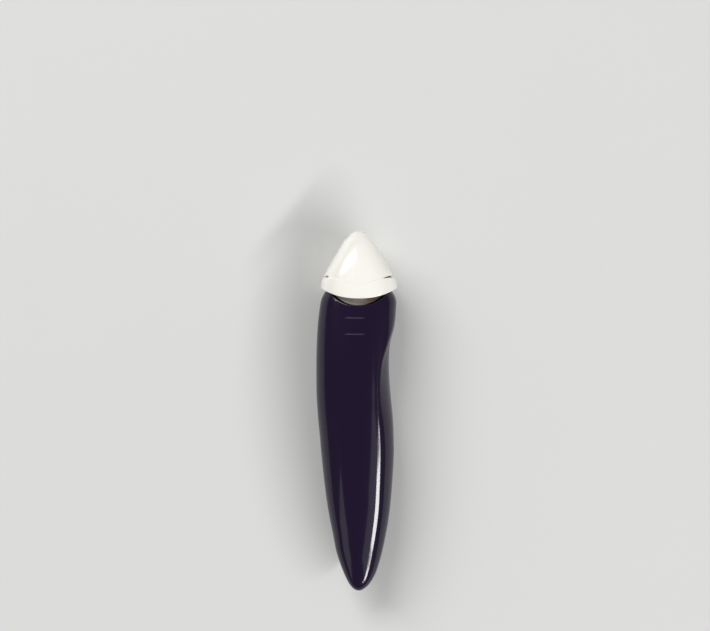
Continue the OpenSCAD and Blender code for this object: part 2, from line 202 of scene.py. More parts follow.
# The handle: its outline
# Two glossy dark violet shells, moulded in a polished tool. The outline is read along the
# length: left edge, right edge, ridge line, depth, and the finger scoop in the right flank.
HANDLE_W = 23.8
HANDLE_H = 19.6
SHELL_WALL = 1.8
TAIL_WALL = 5.0
SCOOP_DEPTH = 2.4
FRONT_DIP = 4.8
BACK_DIP = 3.4
EAR_BEND = 1.2
LAND_CUT = 0.3
LAND_FADE = (0.78, 0.93)
SQUARENESS = 2.3
SCOOP_FOOT = 295.0
# Makes the highest value of u (1 - u)^2 equal to one
SCOOP_PEAK = 6.75
RIDGE_ROUNDING = 0.055
RIDGE_LAND_FLATNESS = 0.85
RIDGE_LAND_SHIFT = 1.5
# Half the width of the land along the ridge in degrees of turn, by share of the length
RIDGE_LAND_SHARE = (0.0, 0.22, 0.5, 0.6)
RIDGE_LAND_HALF = (3.2, 4.6, 2.6, 0.0)
# Percent: share of the length, left edge, right edge, ridge, depth, scoop
OUTLINE = np.array([
    (0, 4, 4, 4, 0, 0),
    (0.5, -8, 15.5, 6, 13, 4),
    (2.2, -20, 31, 14.5, 26, 8),
    (6, -34.5, 48, 24.5, 39, 10),
    (13, -53, 64.5, 35, 56, 12),
    (19, -62, 74.5, 43, 67, 14),
    (25, -71, 82.5, 49, 76, 15),
    (31, -78.5, 87.5, 52.5, 83, 15),
    (38, -85, 91.5, 54.5, 90, 15),
    (45, -90.5, 94.5, 55.5, 95, 15),
    (51, -94.5, 95.5, 55.5, 98, 22),
    (58, -99.5, 96, 55, 100, 40),
    (64, -102.5, 96.5, 54.5, 100, 70),
    (70, -103.5, 96.5, 56.5, 100, 94),
    (76, -103.5, 96.5, 62.5, 99, 98),
    (82, -102.5, 97, 77, 97, 76),
    (88, -100, 98, 88, 93, 25),
    (93, -96, 98, 90, 89, 5),
    (97, -90.5, 97, 88, 85.5, 0),
    (100, -79, 86, 80, 82, 0),
]) / 100.0

shell_low, shell_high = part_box("front_shell")
TAIL_Y = shell_low[1] / MM
HANDLE_LEN = (shell_high[1] - shell_low[1]) / MM
SHOULDER_Y = TAIL_Y + HANDLE_LEN
AXIS_Z = HANDLE_H / 2


def smooth_curve(table, column, share):
    """A smooth line through one column of a table, which crowds its points at a round end."""
    keys = np.sqrt(table[:, 0])
    values = table[:, column]
    last = len(keys) - 1
    at = np.sqrt(np.clip(share, 0.0, None))
    i = np.clip(np.searchsorted(keys, at) - 1, 0, last - 1)
    before = np.maximum(i - 1, 0)
    after = np.minimum(i + 2, last)
    width = keys[i + 1] - keys[i]
    u = (at - keys[i]) / width
    start = width * (values[i + 1] - values[before]) / (keys[i + 1] - keys[before])
    end = width * (values[after] - values[i]) / (keys[after] - keys[i])
    rise = 3 * u**2 - 2 * u**3
    return (
        (1 - rise) * values[i] + (u**3 - 2 * u**2 + u) * start
        + rise * values[i + 1] + (u**3 - u**2) * end)


def ease(value, low, high):
    """Rises from 0 at low to 1 at high, level at both ends."""
    u = np.clip((value - low) / (high - low), 0.0, 1.0)
    return u * u * (3 - 2 * u)


def square_x(turn):
    """Place across a rounded-square section at a section angle, from -1 to 1."""
    c = np.cos(np.radians(turn))
    return np.sign(c) * np.abs(c) ** (2 / SQUARENESS)


def square_z(turn):
    """Height in a rounded-square section at a section angle, from -1 to 1."""
    s = np.sin(np.radians(turn))
    return np.sign(s) * np.abs(s) ** (2 / SQUARENESS)


def edges_at(share):
    """Middle and half width of the handle at a share of its length."""
    left = HANDLE_W / 2 * smooth_curve(OUTLINE, 1, share)
    right = HANDLE_W / 2 * smooth_curve(OUTLINE, 2, share)
    return (left + right) / 2, (right - left) / 2


def depth_at(share):
    return HANDLE_H / 2 * smooth_curve(OUTLINE, 4, share)


def ridge_turn(share):
    """Section angle of the ridge at a share of the length."""
    middle, half_w = edges_at(share)
    ridge = HANDLE_W / 2 * smooth_curve(OUTLINE, 3, share)
    reach = np.clip((ridge - middle) / np.maximum(half_w, 1e-6), 0.1, 0.99)
    return np.degrees(np.arccos(reach ** (SQUARENESS / 2)))


def scoop_at(share, turn):
    """How far the flank is sunk: nothing above the ridge, then steep, fading on the back."""
    ridge = ridge_turn(share)
    signed = np.where(turn > 180, turn - 360, turn)
    u = (ridge - signed) / (ridge + 360 - SCOOP_FOOT)
    soft = np.where(u > RIDGE_ROUNDING, u, (u + RIDGE_ROUNDING) ** 2 / (4 * RIDGE_ROUNDING))
    u = np.where(u < -RIDGE_ROUNDING, 0.0, soft)
    deepest = SCOOP_DEPTH * smooth_curve(OUTLINE, 5, share)
    return deepest * SCOOP_PEAK * u * np.clip(1 - u, 0, 1) ** 2


def round_points(y, turn, inset=0.0):
    """Points of the handle's plain surface, moved inwards in their section by inset."""
    share = (y - TAIL_Y) / HANDLE_LEN
    middle, half_w = edges_at(share)
    back = LAND_CUT * smooth_curve(OUTLINE, 4, share) * (1 - ease(share, *LAND_FADE))
    deep = depth_at(share) + np.where(turn > 180, back, 0.0)
    x = half_w * square_x(turn) - scoop_at(share, turn)
    z = np.maximum(deep * square_z(turn), -AXIS_Z)
    keep = np.clip(1 - inset / np.maximum(np.hypot(x, z), 1e-6), 0.0, 1.0)
    return np.stack([middle + x * keep, y + 0 * x, AXIS_Z + z * keep], axis=-1)


def ridge_land(share):
    """Section angle where the narrow land along the ridge begins, and half its width."""
    half = np.interp(share, RIDGE_LAND_SHARE, RIDGE_LAND_HALF)
    return ridge_turn(share) + RIDGE_LAND_SHIFT - half, half


def handle_points(y, turn, inset=0.0):
    """Points of the handle's surface, flattened on the land along the ridge."""
    low, half = ridge_land((y - TAIL_Y) / HANDLE_LEN)
    along = (turn - low) / np.maximum(2 * half, 1e-6)
    points = round_points(y, turn, inset)
    near = round_points(y, low, inset)
    far = round_points(y, low + 2 * half, inset)
    chord = near + (far - near) * np.clip(along, 0.0, 1.0)[..., None]
    flat = np.where((along > 0) & (along < 1) & (half > 0.1), RIDGE_LAND_FLATNESS, 0.0)
    return points + flat[..., None] * (chord - points)


def ear_rise(turn):
    """The mouth's rise from its middle to the ears: a parabola that levels off beside them."""
    steep = EAR_BEND * square_x(turn) ** 2
    return steep / (1 + steep**8) ** 0.125 * (1 + EAR_BEND**8) ** 0.125 / EAR_BEND


def mouth_y(turn):
    """Height of the mouth's edge along the handle at a section angle."""
    dip = np.where(turn > 180, BACK_DIP, FRONT_DIP)
    return SHOULDER_Y - dip * (1 - ear_rise(turn))


# The handle: its two shells
# Each shell is a hollow half with a wall of 1.8 mm. A hair-fine groove marks the parting
# line, the mouth's edge is rounded, and two fine ribs bound a bare badge field in front.
SHELL_ROWS = 190
SHELL_COLUMNS = 150
GROOVE = 0.07
MOUTH_ROUNDING = (0.3, 0.4)
MOUTH_ROWS = (1.0, 0.82, 0.64, 0.48, 0.34, 0.22, 0.12, 0.05, 0.0)
STRAIGHT_TO = 0.915
BADGE = dict(
    middle=(-0.8, 25.4), width=6.6, ribs_apart=4.8, rib_half=0.3, rib_fade=1.2, rise=0.035)
TAIL_CROWDING = 1.6
RIB_STEPS = 6
RIB_CLEAR = 1.1
EDGE_COLUMN = 0.6
FAN_ROWS = 12
TAIL_CLOSED = 1.0
HOLLOW_FADE = 0.6
RIDGE_COLUMNS = (55.0, 63.0)
LOWEST_FOLLOWED = 36.0
NARROWEST_LAND = 2.4
# Metres: points closer than the first are one point, edges shorter than the second are none
WELD = 2e-7
NO_LENGTH = 1e-8
CREASE = 38.0


def mesh_from(name, points, faces, material, **amounts):
    """A closed smooth piece in metres from points in millimetres, with amounts for each point."""
    mesh = bpy.data.meshes.new(name)
    mesh.from_pydata([tuple(p * MM) for p in points], [], faces)
    for amount, values in amounts.items():
        mesh.attributes.new(amount, "FLOAT", "POINT").data.foreach_set("value", np.ravel(values))
    work = bmesh.new()
    work.from_mesh(mesh)
    bmesh.ops.remove_doubles(work, verts=work.verts, dist=WELD)
    bmesh.ops.dissolve_degenerate(work, dist=NO_LENGTH, edges=work.edges)
    bmesh.ops.recalc_face_normals(work, faces=work.faces)
    sharpen(work)
    work.to_mesh(mesh)
    work.free()
    mesh.materials.append(material)
    return placed(name, mesh)


def sharpen(work, angle=CREASE):
    """Smooth faces, with the edges that turn more than an angle kept sharp."""
    limit = math.radians(angle)
    for face in work.faces:
        face.smooth = True
    for edge in work.edges:
        edge.smooth = len(edge.link_faces) == 2 and edge.calc_face_angle(0.0) < limit


def ring_faces(rows, columns):
    """Quads between rows of points that each close on themselves."""
    faces = []
    for r in range(rows - 1):
        here, there = r * columns, (r + 1) * columns
        for c in range(columns):
            d = (c + 1) % columns
            faces.append((here + c, here + d, there + d, there + c))
    return faces


def badge_ribs():
    """Places of the badge field's two ribs along the handle."""
    return [BADGE["middle"][1] + side * BADGE["ribs_apart"] / 2 for side in (-1, 1)]


def rib_height(points):
    """How high the badge field's two ribs stand at the front's points, from 0 to 1."""
    from_middle = np.abs(points[..., 0] - BADGE["middle"][0])
    ends = 1 - ease(from_middle, BADGE["width"] / 2 - BADGE["rib_fade"], BADGE["width"] / 2)
    height = 0.0
    for rib_y in badge_ribs():
        off = np.clip(np.abs(points[..., 1] - rib_y) / BADGE["rib_half"], 0.0, 1.0)
        height = height + ends * (1 - off**2) ** 2
    return height


def shell_rows(front):
    """Row heights of the shell's straight part, which crowd at the tail and at the ribs."""
    crowded = np.linspace(0.0, 1.0, SHELL_ROWS) ** TAIL_CROWDING
    straight = crowded * STRAIGHT_TO * HANDLE_LEN + TAIL_Y
    if not front:
        return straight
    reach = BADGE["rib_half"]
    clear = reach * RIB_CLEAR
    kept = [y for y in straight if min(abs(y - rib) for rib in badge_ribs()) > clear]
    steps = range(-RIB_STEPS, RIB_STEPS + 1)
    fine = [rib + reach * k / RIB_STEPS for rib in badge_ribs() for k in steps]
    return np.sort(np.array(kept + fine))


def following_ridge(turns, y):
    """Moves the section angles so that the same columns bound the ridge's land in every row."""
    low, half = ridge_land((y - TAIL_Y) / HANDLE_LEN)
    middle = max(low + half, LOWEST_FOLLOWED)
    half = max(half, NARROWEST_LAND)
    bounds = (0.0, middle - half, middle + half, 180.0)
    return np.interp(turns, (0.0, *RIDGE_COLUMNS, 180.0), bounds)


def half_shell(name, front, material):
    """Front or back half of the handle: an outer and an inner skin, joined at the mouth."""
    first = 0.0 if front else 180.0
    turns = np.linspace(first, first + 180.0, SHELL_COLUMNS)
    extra = [first + turn for turn in (EDGE_COLUMN, 180.0 - EDGE_COLUMN, *RIDGE_COLUMNS)]
    turns = np.sort(np.concatenate([turns, extra]))
    straight = shell_rows(front)
    turn_rows = [following_ridge(turns, y) if front else turns for y in straight]
    turns = turn_rows[-1]
    rounding = MOUTH_ROUNDING[0] + MOUTH_ROUNDING[1] * np.cos(np.radians(turns)) ** 2
    rows = [np.full_like(turns, y) for y in straight]
    reach = mouth_y(turns) - straight[-1]
    rows += [straight[-1] + (reach - rounding) * k / FAN_ROWS for k in range(1, FAN_ROWS)]
    rows += [mouth_y(turns) - rounding * k for k in MOUTH_ROWS]
    y = np.array(rows)
    turn = np.array(turn_rows + [turns] * (len(rows) - len(turn_rows)))
    over = np.clip(1 - (mouth_y(turn) - y) / rounding, 0.0, 1.0)
    inset = rounding * (1 - np.sqrt(1 - over**2))
    inset[:, [0, -1]] += GROOVE
    inset = inset * ease(y, TAIL_Y, TAIL_Y + TAIL_CLOSED)
    outer = handle_points(y, turn, inset)
    ribs = rib_height(outer) if front else np.zeros(y.shape)
    outer[..., 2] += BADGE["rise"] * ribs
    hollow_from = TAIL_Y + TAIL_WALL
    hollow = ease(y, hollow_from - HOLLOW_FADE, hollow_from + HOLLOW_FADE)
    wall = HANDLE_W * (1 - hollow) + SHELL_WALL * hollow
    inner = handle_points(y, turn, wall)[:, ::-1]
    loops = np.concatenate([outer, inner], axis=1)
    count = loops.shape[1]
    faces = ring_faces(loops.shape[0], count)
    base = (loops.shape[0] - 1) * count
    for c in range(count // 2 - 1):
        faces.append((base + c, base + c + 1, base + count - 2 - c, base + count - 1 - c))
    # The ribs carry a painted highlight, given by this attribute
    painted_rib_highlight_share = np.concatenate([ribs, 0 * ribs], axis=1)
    return mesh_from(name, loops.reshape(-1, 3), faces, material, worn=painted_rib_highlight_share)


# The moulded finish of every plastic piece: a slow drift of tone in the plastic, the faint
# orange peel of a polished tool, and fine scuffs from being handled.
DRIFT_SCALE = 70.0
HAIRLINE_TURN = (0.3, 0.5, 0.7)
HAIRLINE_SCALE = (2600.0, 60.0, 400.0)
SCUFF_PATCHES = 160.0
SCUFF_RANGE = (0.3, 0.45)
PEEL_SCALE = 420.0
PEEL_STRENGTH = 0.25
COAT_ROUGHNESS = 0.1


def new_group(name, kind, inputs, outputs):
    """A node group with named sockets, its nodes, its links, and its input and output nodes."""
    group = bpy.data.node_groups.new(name, kind)
    for side, sockets in (("INPUT", inputs), ("OUTPUT", outputs)):
        for label, sort in sockets:
            group.interface.new_socket(label, in_out=side, socket_type="NodeSocket" + sort)
    given = group.nodes.new("NodeGroupInput")
    result = group.nodes.new("NodeGroupOutput")
    return group, group.nodes, group.links, given, result


def product(nodes, links, first, second):
    """The product of two values."""
    both = nodes.new("ShaderNodeMath")
    both.operation = "MULTIPLY"
    links.new(first, both.inputs[0])
    links.new(second, both.inputs[1])
    return both.outputs["Value"]


def moulded_group():
    group, nodes, links, given, result = new_group(
        "moulded_skin", "ShaderNodeTree",
        [("Vector", "Vector"), ("Color", "Color"), ("Drift Color", "Color"),
         ("Gloss Roughness", "Float"), ("Scuff Roughness", "Float")],
        [("Tone", "Color"), ("Roughness", "Float"), ("Height", "Float")])
    drift = noise_on(nodes, links, given.outputs["Vector"], DRIFT_SCALE, 3.0)
    tone = nodes.new("ShaderNodeMix")
    tone.data_type = "RGBA"
    links.new(drift, tone.inputs["Factor"])
    links.new(given.outputs["Color"], tone.inputs["A"])
    links.new(given.outputs["Drift Color"], tone.inputs["B"])
    links.new(tone.outputs["Result"], result.inputs["Tone"])
    turned = nodes.new("ShaderNodeMapping")
    turned.inputs["Rotation"].default_value = HAIRLINE_TURN
    turned.inputs["Scale"].default_value = HAIRLINE_SCALE
    links.new(given.outputs["Vector"], turned.inputs["Vector"])
    hairlines = noise_on(nodes, links, turned.outputs["Vector"], 1.0, 1.0)
    patches = noise_on(nodes, links, given.outputs["Vector"], SCUFF_PATCHES)
    picked = nodes.new("ShaderNodeMapRange")
    picked.inputs["From Min"].default_value, picked.inputs["From Max"].default_value = SCUFF_RANGE
    links.new(product(nodes, links, hairlines, patches), picked.inputs["Value"])
    links.new(given.outputs["Gloss Roughness"], picked.inputs["To Min"])
    links.new(given.outputs["Scuff Roughness"], picked.inputs["To Max"])
    links.new(picked.outputs["Result"], result.inputs["Roughness"])
    peel = noise_on(nodes, links, given.outputs["Vector"], PEEL_SCALE, 1.0)
    links.new(peel, result.inputs["Height"])
    return group


MOULDED = moulded_group()


def moulded_plastic(name, color, drift, gloss, scuff, peel_mm, coat=0.0, ior=1.5, coat_ior=1.5):
    """A plastic with the moulded finish, and its surface shader."""
    material, nodes, links, surface = blank_material(name)
    skin = nodes.new("ShaderNodeGroup")
    skin.node_tree = MOULDED
    skin.inputs["Color"].default_value = (*color, 1.0)
    skin.inputs["Drift Color"].default_value = (*drift, 1.0)
    skin.inputs["Gloss Roughness"].default_value = gloss
    skin.inputs["Scuff Roughness"].default_value = scuff
    links.new(object_vector(nodes), skin.inputs["Vector"])
    links.new(skin.outputs["Tone"], surface.inputs["Base Color"])
    links.new(skin.outputs["Roughness"], surface.inputs["Roughness"])
    bump_on(nodes, links, surface, skin.outputs["Height"], PEEL_STRENGTH, peel_mm * MM)
    surface.inputs["IOR"].default_value = ior
    surface.inputs["Coat Weight"].default_value = coat
    surface.inputs["Coat Roughness"].default_value = COAT_ROUGHNESS
    surface.inputs["Coat IOR"].default_value = coat_ior
    return material, surface


def laid_over(material, mask, color, roughness):
    """Covers a material by a mask with another colour and roughness."""
    nodes, links = material.node_tree.nodes, material.node_tree.links
    surface = nodes["Principled BSDF"]
    for name, kind, value in (("Base Color", "RGBA", color), ("Roughness", "FLOAT", roughness)):
        mix = nodes.new("ShaderNodeMix")
        mix.data_type = kind
        below = [i for i in mix.inputs if i.name == "A" and i.enabled][0]
        above = [i for i in mix.inputs if i.name == "B" and i.enabled][0]
        target = surface.inputs[name]
        if target.is_linked:
            links.new(target.links[0].from_socket, below)
        else:
            below.default_value = target.default_value
        above.default_value = value
        links.new(mask, mix.inputs["Factor"])
        links.new([o for o in mix.outputs if o.enabled][0], target)
    return material


# Painted highlight: a lighter violet laid on the badge ribs so that they show as light lines
RIB_PAINTED_HIGHLIGHT_COLOR = (0.042, 0.036, 0.062, 1.0)
RIB_SATIN_ROUGHNESS = 0.5


def worn(material):
    """The raised ribs get a painted highlight, a lighter violet, with a satin roughness: an
    attribute of the piece says where.
    """
    amount = material.node_tree.nodes.new("ShaderNodeAttribute")
    amount.attribute_name = "worn"
    return laid_over(material, amount.outputs["Fac"], RIB_PAINTED_HIGHLIGHT_COLOR, RIB_SATIN_ROUGHNESS)


violet, _ = moulded_plastic(
    "dark_violet_gloss", (0.0065, 0.001, 0.018), (0.0085, 0.0017, 0.021), 0.25, 0.32, 0.003,
    coat=0.3, ior=1.15, coat_ior=2.0)
# Painted highlight on the badge ribs
worn(violet)

front_shell = half_shell("front_shell_moulding", True, violet)
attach(front_shell, "handle")
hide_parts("front_shell")
back_shell = half_shell("back_shell_moulding", False, violet)
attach(back_shell, "handle")
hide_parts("back_shell")

# The nose
# White plastic, moulded in one with the spigot that plugs into the handle. A narrow slot
# opens its end for the wheel, and a stepped bore behind takes the fork and the container.
NOSE_LINE = np.array([
    (0, 0, 0), (3, 14, 20), (12, 32, 44), (30, 53, 68), (60, 78, 88), (100, 100, 100),
]) / 100.0
SEAM = 0.2
NEST_GAP = 0.3
SEAT_GAP = 0.02
SLOT_GAP = 0.35
NOSE_EDGE = 0.2
NECK_DEPTH = 0.95
NECK_UNDER = 0.5
NECK_RISE = 0.5
NOSE_COLUMNS = 144
NOSE_ROWS = 70
# Rows crowd towards the tips of the nose and the cap, where they are roundest
ROW_CROWDING = 1.8
# Share of the neck's rise, share of its depth
NECK_TOP = ((0.15, 0.92), (0.03, 1.0))
NECK_SHARES = (0.0, 0.3, 0.6, 0.85, 1.0)
SPIGOT_INSET = 0.4
SPIGOT_ROWS = 6
# Share of the spigot's section, height above its end
SPIGOT_END_ROWS = ((0.965, 0.12), (0.93, 0.0), (0.0, 0.0))
# Painted shade in the neck: its least, what the right side has more, and the share on the spigot
NECK_PAINTED_SHADE = (0.88, 0.42)
NECK_PAINTED_SHADE_FADE = 0.15
SPIGOT_PAINTED_SHADE = 0.2

nose_low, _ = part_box("nose")
cap_low, cap_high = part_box("protective_cap")
wheel_low, wheel_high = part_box("toothed_wheel")
axle_low, axle_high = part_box("wheel_axle")
tube_low, tube_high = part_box("chalk_container")
AXIS_X = (tube_low[0] + tube_high[0]) / 2 / MM
WHEEL_Y = (axle_low[1] + axle_high[1]) / 2 / MM
WHEEL_R = (wheel_high[1] - wheel_low[1]) / 2 / MM
WHEEL_T = 0.8
CHEEK_R = 2.0
TUBE_R = (tube_high[0] - tube_low[0]) / 2 / MM
FORK_W = (axle_high[0] - axle_low[0]) / MM
SPIGOT_END = nose_low[1] / MM
SEAT_Y = SHOULDER_Y + 0.8
NOSE_LEN = 10.3
NOSE_TIP_Y = SHOULDER_Y + NOSE_LEN
CAP_LEN = (cap_high[1] - cap_low[1]) / MM
APEX_Y = cap_high[1] / MM
RIM_RISE = 3.0


def rim_down(turn):
    """Distance from the cap's apex to its rim, which is highest at the sides."""
    return CAP_LEN - RIM_RISE * np.cos(np.radians(turn)) ** 2


def neck_y(turn):
    """Upper end of the neck, hidden under the cap's rim."""
    return np.maximum(APEX_Y - rim_down(turn) + NECK_UNDER, mouth_y(turn) + SEAM + NECK_RISE)


def nose_points(y, turn, inset=0.0):
    """Points of the nose: the handle's section up to the shoulder, tapered above it."""
    middle, half_w = edges_at(1.0)
    left = np.clip((NOSE_TIP_Y - y) / NOSE_LEN, 0.0, 1.0)
    x = np.maximum(half_w * smooth_curve(NOSE_LINE, 1, left) - inset, 0.0) * square_x(turn)
    z = np.maximum(depth_at(1.0) * smooth_curve(NOSE_LINE, 2, left) - inset, 0.0) * square_z(turn)
    taper = np.stack([middle + x, y, AXIS_Z + z], axis=-1)
    body = handle_points(np.minimum(y, SHOULDER_Y), turn, inset)
    return np.where((y > SHOULDER_Y)[..., None], taper, body)


def placed_work(name, work):
    """A new object in the scene for a working mesh, which is freed."""
    mesh = bpy.data.meshes.new(name)
    work.to_mesh(mesh)
    work.free()
    return placed(name, mesh)


def turned_rod(name, radius, length, place, along, segments=96):
    """A cutter: a rod centred on a place in millimetres, along X or Y."""
    work = bmesh.new()
    bmesh.ops.create_cone(
        work, cap_ends=True, segments=segments, radius1=radius * MM, radius2=radius * MM,
        depth=length * MM)
    for vert in work.verts:
        x, y, z = vert.co
        turned = (z, x, y) if along == "X" else (x, z, -y)
        vert.co = Vector(turned) + Vector(place) * MM
    bmesh.ops.recalc_face_normals(work, faces=work.faces)
    return placed_work(name, work)


def block(name, low, high):
    """A cutter: a box between two corners in millimetres."""
    work = bmesh.new()
    bmesh.ops.create_cube(work, size=1.0)
    for vert in work.verts:
        corner = [(lo + hi) / 2 + c * (hi - lo) for lo, hi, c in zip(low, high, vert.co)]
        vert.co = Vector(corner) * MM
    return placed_work(name, work)


def cut(piece, cutters):
    """Cuts a piece's mesh with other pieces, which are then thrown away."""
    for cutter in cutters:
        modifier = piece.modifiers.new(cutter.name, "BOOLEAN")
        modifier.operation = "DIFFERENCE"
        modifier.solver = "EXACT"
        modifier.object = cutter
    bake_modifiers(piece)
    for cutter in cutters:
        bpy.data.objects.remove(cutter)


def evaluated_mesh(piece):
    """A new mesh of a piece as its modifiers make it."""
    bpy.context.view_layer.update()
    graph = bpy.context.evaluated_depsgraph_get()
    return bpy.data.meshes.new_from_object(piece.evaluated_get(graph))


def bake_modifiers(piece, angle=CREASE):
    """Applies a piece's modifiers and sets its sharp edges again."""
    done = evaluated_mesh(piece)
    piece.modifiers.clear()
    piece.data = done
    work = bmesh.new()
    work.from_mesh(done)
    bmesh.ops.remove_doubles(work, verts=work.verts, dist=WELD)
    sharpen(work, angle)
    work.to_mesh(done)
    work.free()


def nose_piece(material):
    """The nose from its tip to the spigot's end, with the bores and the wheel's slot cut in."""
    turns = np.linspace(0.0, 360.0, NOSE_COLUMNS, endpoint=False)
    seam = mouth_y(turns) + SEAM
    neck = neck_y(turns)
    foot = neck + NECK_RISE
    # Painted shade in the neck below the cap's rim: heaviest on the right side, a little lighter
    # towards the seam
    painted_shade_amount = NECK_PAINTED_SHADE[0] + NECK_PAINTED_SHADE[1] * ease(square_x(turns), 0.0, 0.6)
    rows, grime = [], []
    for k in range(NOSE_ROWS + 1):
        y = NOSE_TIP_Y + (foot - NOSE_TIP_Y) * (k / NOSE_ROWS) ** ROW_CROWDING
        over = np.clip(1 - (y - foot) / NOSE_EDGE, 0.0, 1.0)
        rows.append(nose_points(y, turns, NOSE_EDGE * (1 - np.sqrt(1 - over**2))))
        grime.append(0 * painted_shade_amount)
    for share, depth in NECK_TOP:
        rows.append(nose_points(neck + NECK_RISE * share, turns, NECK_DEPTH * depth))
        grime.append(painted_shade_amount)
    for share in NECK_SHARES:
        rows.append(nose_points(neck + (seam - neck) * share, turns, NECK_DEPTH))
        grime.append(painted_shade_amount * (1 - NECK_PAINTED_SHADE_FADE * ease(share, 0.6, 1.0)))
    plug_end = handle_points(seam, turns, SHELL_WALL + NEST_GAP)
    rows.append(plug_end)
    highest = SHOULDER_Y - FRONT_DIP - SPIGOT_INSET
    for y in np.linspace(highest, SPIGOT_END + SPIGOT_INSET, SPIGOT_ROWS):
        rows.append(np.stack([plug_end[:, 0], np.full_like(turns, y), plug_end[:, 2]], axis=-1))
    middle = np.array([edges_at(1.0)[0], 0.0, AXIS_Z])
    for shrink, above in SPIGOT_END_ROWS:
        ring = middle + (plug_end - middle) * [shrink, 0, shrink]
        ring[:, 1] = SPIGOT_END + above
        rows.append(ring)
    points = np.array(rows)
    grime = np.array(grime + [SPIGOT_PAINTED_SHADE * painted_shade_amount] * (len(rows) - len(grime)))
    faces = ring_faces(points.shape[0], NOSE_COLUMNS)
    piece = mesh_from("nose_moulding", points.reshape(-1, 3), faces, material, grime=grime)
    half_fork = FORK_W / 2 + SEAT_GAP
    half_cheek = CHEEK_R + SEAT_GAP
    bore_len = SEAT_Y - SPIGOT_END + 1
    bore_at = (AXIS_X, (SPIGOT_END - 1 + SEAT_Y) / 2, AXIS_Z)
    space_low = (AXIS_X - half_fork, SEAT_Y - 0.1, AXIS_Z - half_cheek)
    space_high = (AXIS_X + half_fork, WHEEL_Y, AXIS_Z + half_cheek)
    wheel_at = (AXIS_X, WHEEL_Y, AXIS_Z)
    slot_w = WHEEL_T + 2 * SLOT_GAP
    cut(piece, [
        turned_rod("bore", TUBE_R + SEAT_GAP, bore_len, bore_at, "Y"),
        block("fork_space", space_low, space_high),
        turned_rod("cheek_space", half_cheek, 2 * half_fork, wheel_at, "X"),
        turned_rod("wheel_slot", WHEEL_R + SLOT_GAP, slot_w, wheel_at, "X"),
    ])
    return piece


# Chalk dust settles round the wheel: a mask that is strong at a centre and broken by grain.
DUST_COLOR = (0.9, 0.9, 0.88, 1.0)
DUST_ROUGHNESS = 0.9
DUST_SCALE = 2200.0
DUST_RANGE = (0.42, 0.62)


def dust_group():
    group, nodes, links, given, result = new_group(
        "chalk_dust", "ShaderNodeTree",
        [("Vector", "Vector"), ("Centre", "Vector"), ("Reach", "Float")], [("Mask", "Float")])
    away = nodes.new("ShaderNodeVectorMath")
    away.operation = "DISTANCE"
    links.new(given.outputs["Vector"], away.inputs[0])
    links.new(given.outputs["Centre"], away.inputs[1])
    near = nodes.new("ShaderNodeMapRange")
    near.inputs["To Min"].default_value = 1.0
    near.inputs["To Max"].default_value = 0.0
    links.new(away.outputs["Value"], near.inputs["Value"])
    links.new(given.outputs["Reach"], near.inputs["From Max"])
    grain = noise_on(nodes, links, given.outputs["Vector"], DUST_SCALE, 4.0)
    sharp = nodes.new("ShaderNodeMapRange")
    sharp.inputs["From Min"].default_value, sharp.inputs["From Max"].default_value = DUST_RANGE
    links.new(grain, sharp.inputs["Value"])
    mask = product(nodes, links, near.outputs["Result"], sharp.outputs["Result"])
    links.new(mask, result.inputs["Mask"])
    return group


DUST = dust_group()


def dusted(material, reach_mm):
    """Lays chalk dust over a material: paler and rougher near the wheel."""
    nodes, links = material.node_tree.nodes, material.node_tree.links
    dust = nodes.new("ShaderNodeGroup")
    dust.node_tree = DUST
    dust.inputs["Centre"].default_value = (AXIS_X * MM, WHEEL_Y * MM, AXIS_Z * MM)
    dust.inputs["Reach"].default_value = reach_mm * MM
    links.new(object_vector(nodes), dust.inputs["Vector"])
    return laid_over(material, dust.outputs["Mask"], DUST_COLOR, DUST_ROUGHNESS)


# Painted shade: a dark brown laid over the plastic where shade falls, in the neck that the nose
# shows below the cap and in the cap's slits. A per-point attribute of the piece says where.
PAINTED_SHADE_COLOR = (0.12, 0.065, 0.03, 1.0)
PAINTED_SHADE_ROUGHNESS = 0.6
PAINTED_SHADE_SCALE = 900.0
PAINTED_SHADE_UNEVEN = (0.75, 1.0)


def grime_group():
    group, nodes, links, given, result = new_group(
        "settled_grime", "ShaderNodeTree",
        [("Vector", "Vector"), ("Amount", "Float")], [("Mask", "Float")])
    patches = noise_on(nodes, links, given.outputs["Vector"], PAINTED_SHADE_SCALE, 3.0)
    uneven = spread(nodes, links, patches, *PAINTED_SHADE_UNEVEN)
    mask = product(nodes, links, given.outputs["Amount"], uneven)
    links.new(mask, result.inputs["Mask"])
    return group


PAINTED_SHADE = grime_group()


def grimed(material):
    """Lays painted shade over a material where the piece's attribute asks for it."""
    nodes, links = material.node_tree.nodes, material.node_tree.links
    painted_shade_amount = nodes.new("ShaderNodeGroup")
    painted_shade_amount.node_tree = PAINTED_SHADE
    amount = nodes.new("ShaderNodeAttribute")
    amount.attribute_name = "grime"
    links.new(object_vector(nodes), painted_shade_amount.inputs["Vector"])
    links.new(amount.outputs["Fac"], painted_shade_amount.inputs["Amount"])
    return laid_over(material, painted_shade_amount.outputs["Mask"], PAINTED_SHADE_COLOR, PAINTED_SHADE_ROUGHNESS)


white, white_surface = moulded_plastic(
    "white_satin_plastic", (0.82, 0.82, 0.8), (0.86, 0.86, 0.84), 0.28, 0.42, 0.012)
white_surface.inputs["Subsurface Weight"].default_value = 0.08
white_surface.inputs["Subsurface Scale"].default_value = 0.001
dusted(white, 6.5)
# Painted shade on the nose's neck, where the piece's attribute asks for it
grimed(white)

nose = nose_piece(white)
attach(nose, "cartridge")
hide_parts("nose")

# The fork and its axle
# The fork is a white moulding pushed into the nose from behind: a base disc with the chalk
# passage and two round-ended cheeks. The axle is a ground steel pin pressed through both.
BEVEL_MM = 0.06
BEVEL_ANGLE = 30.0
COPY_WELD = 1e-6
FLAT_ANGLE = 0.6


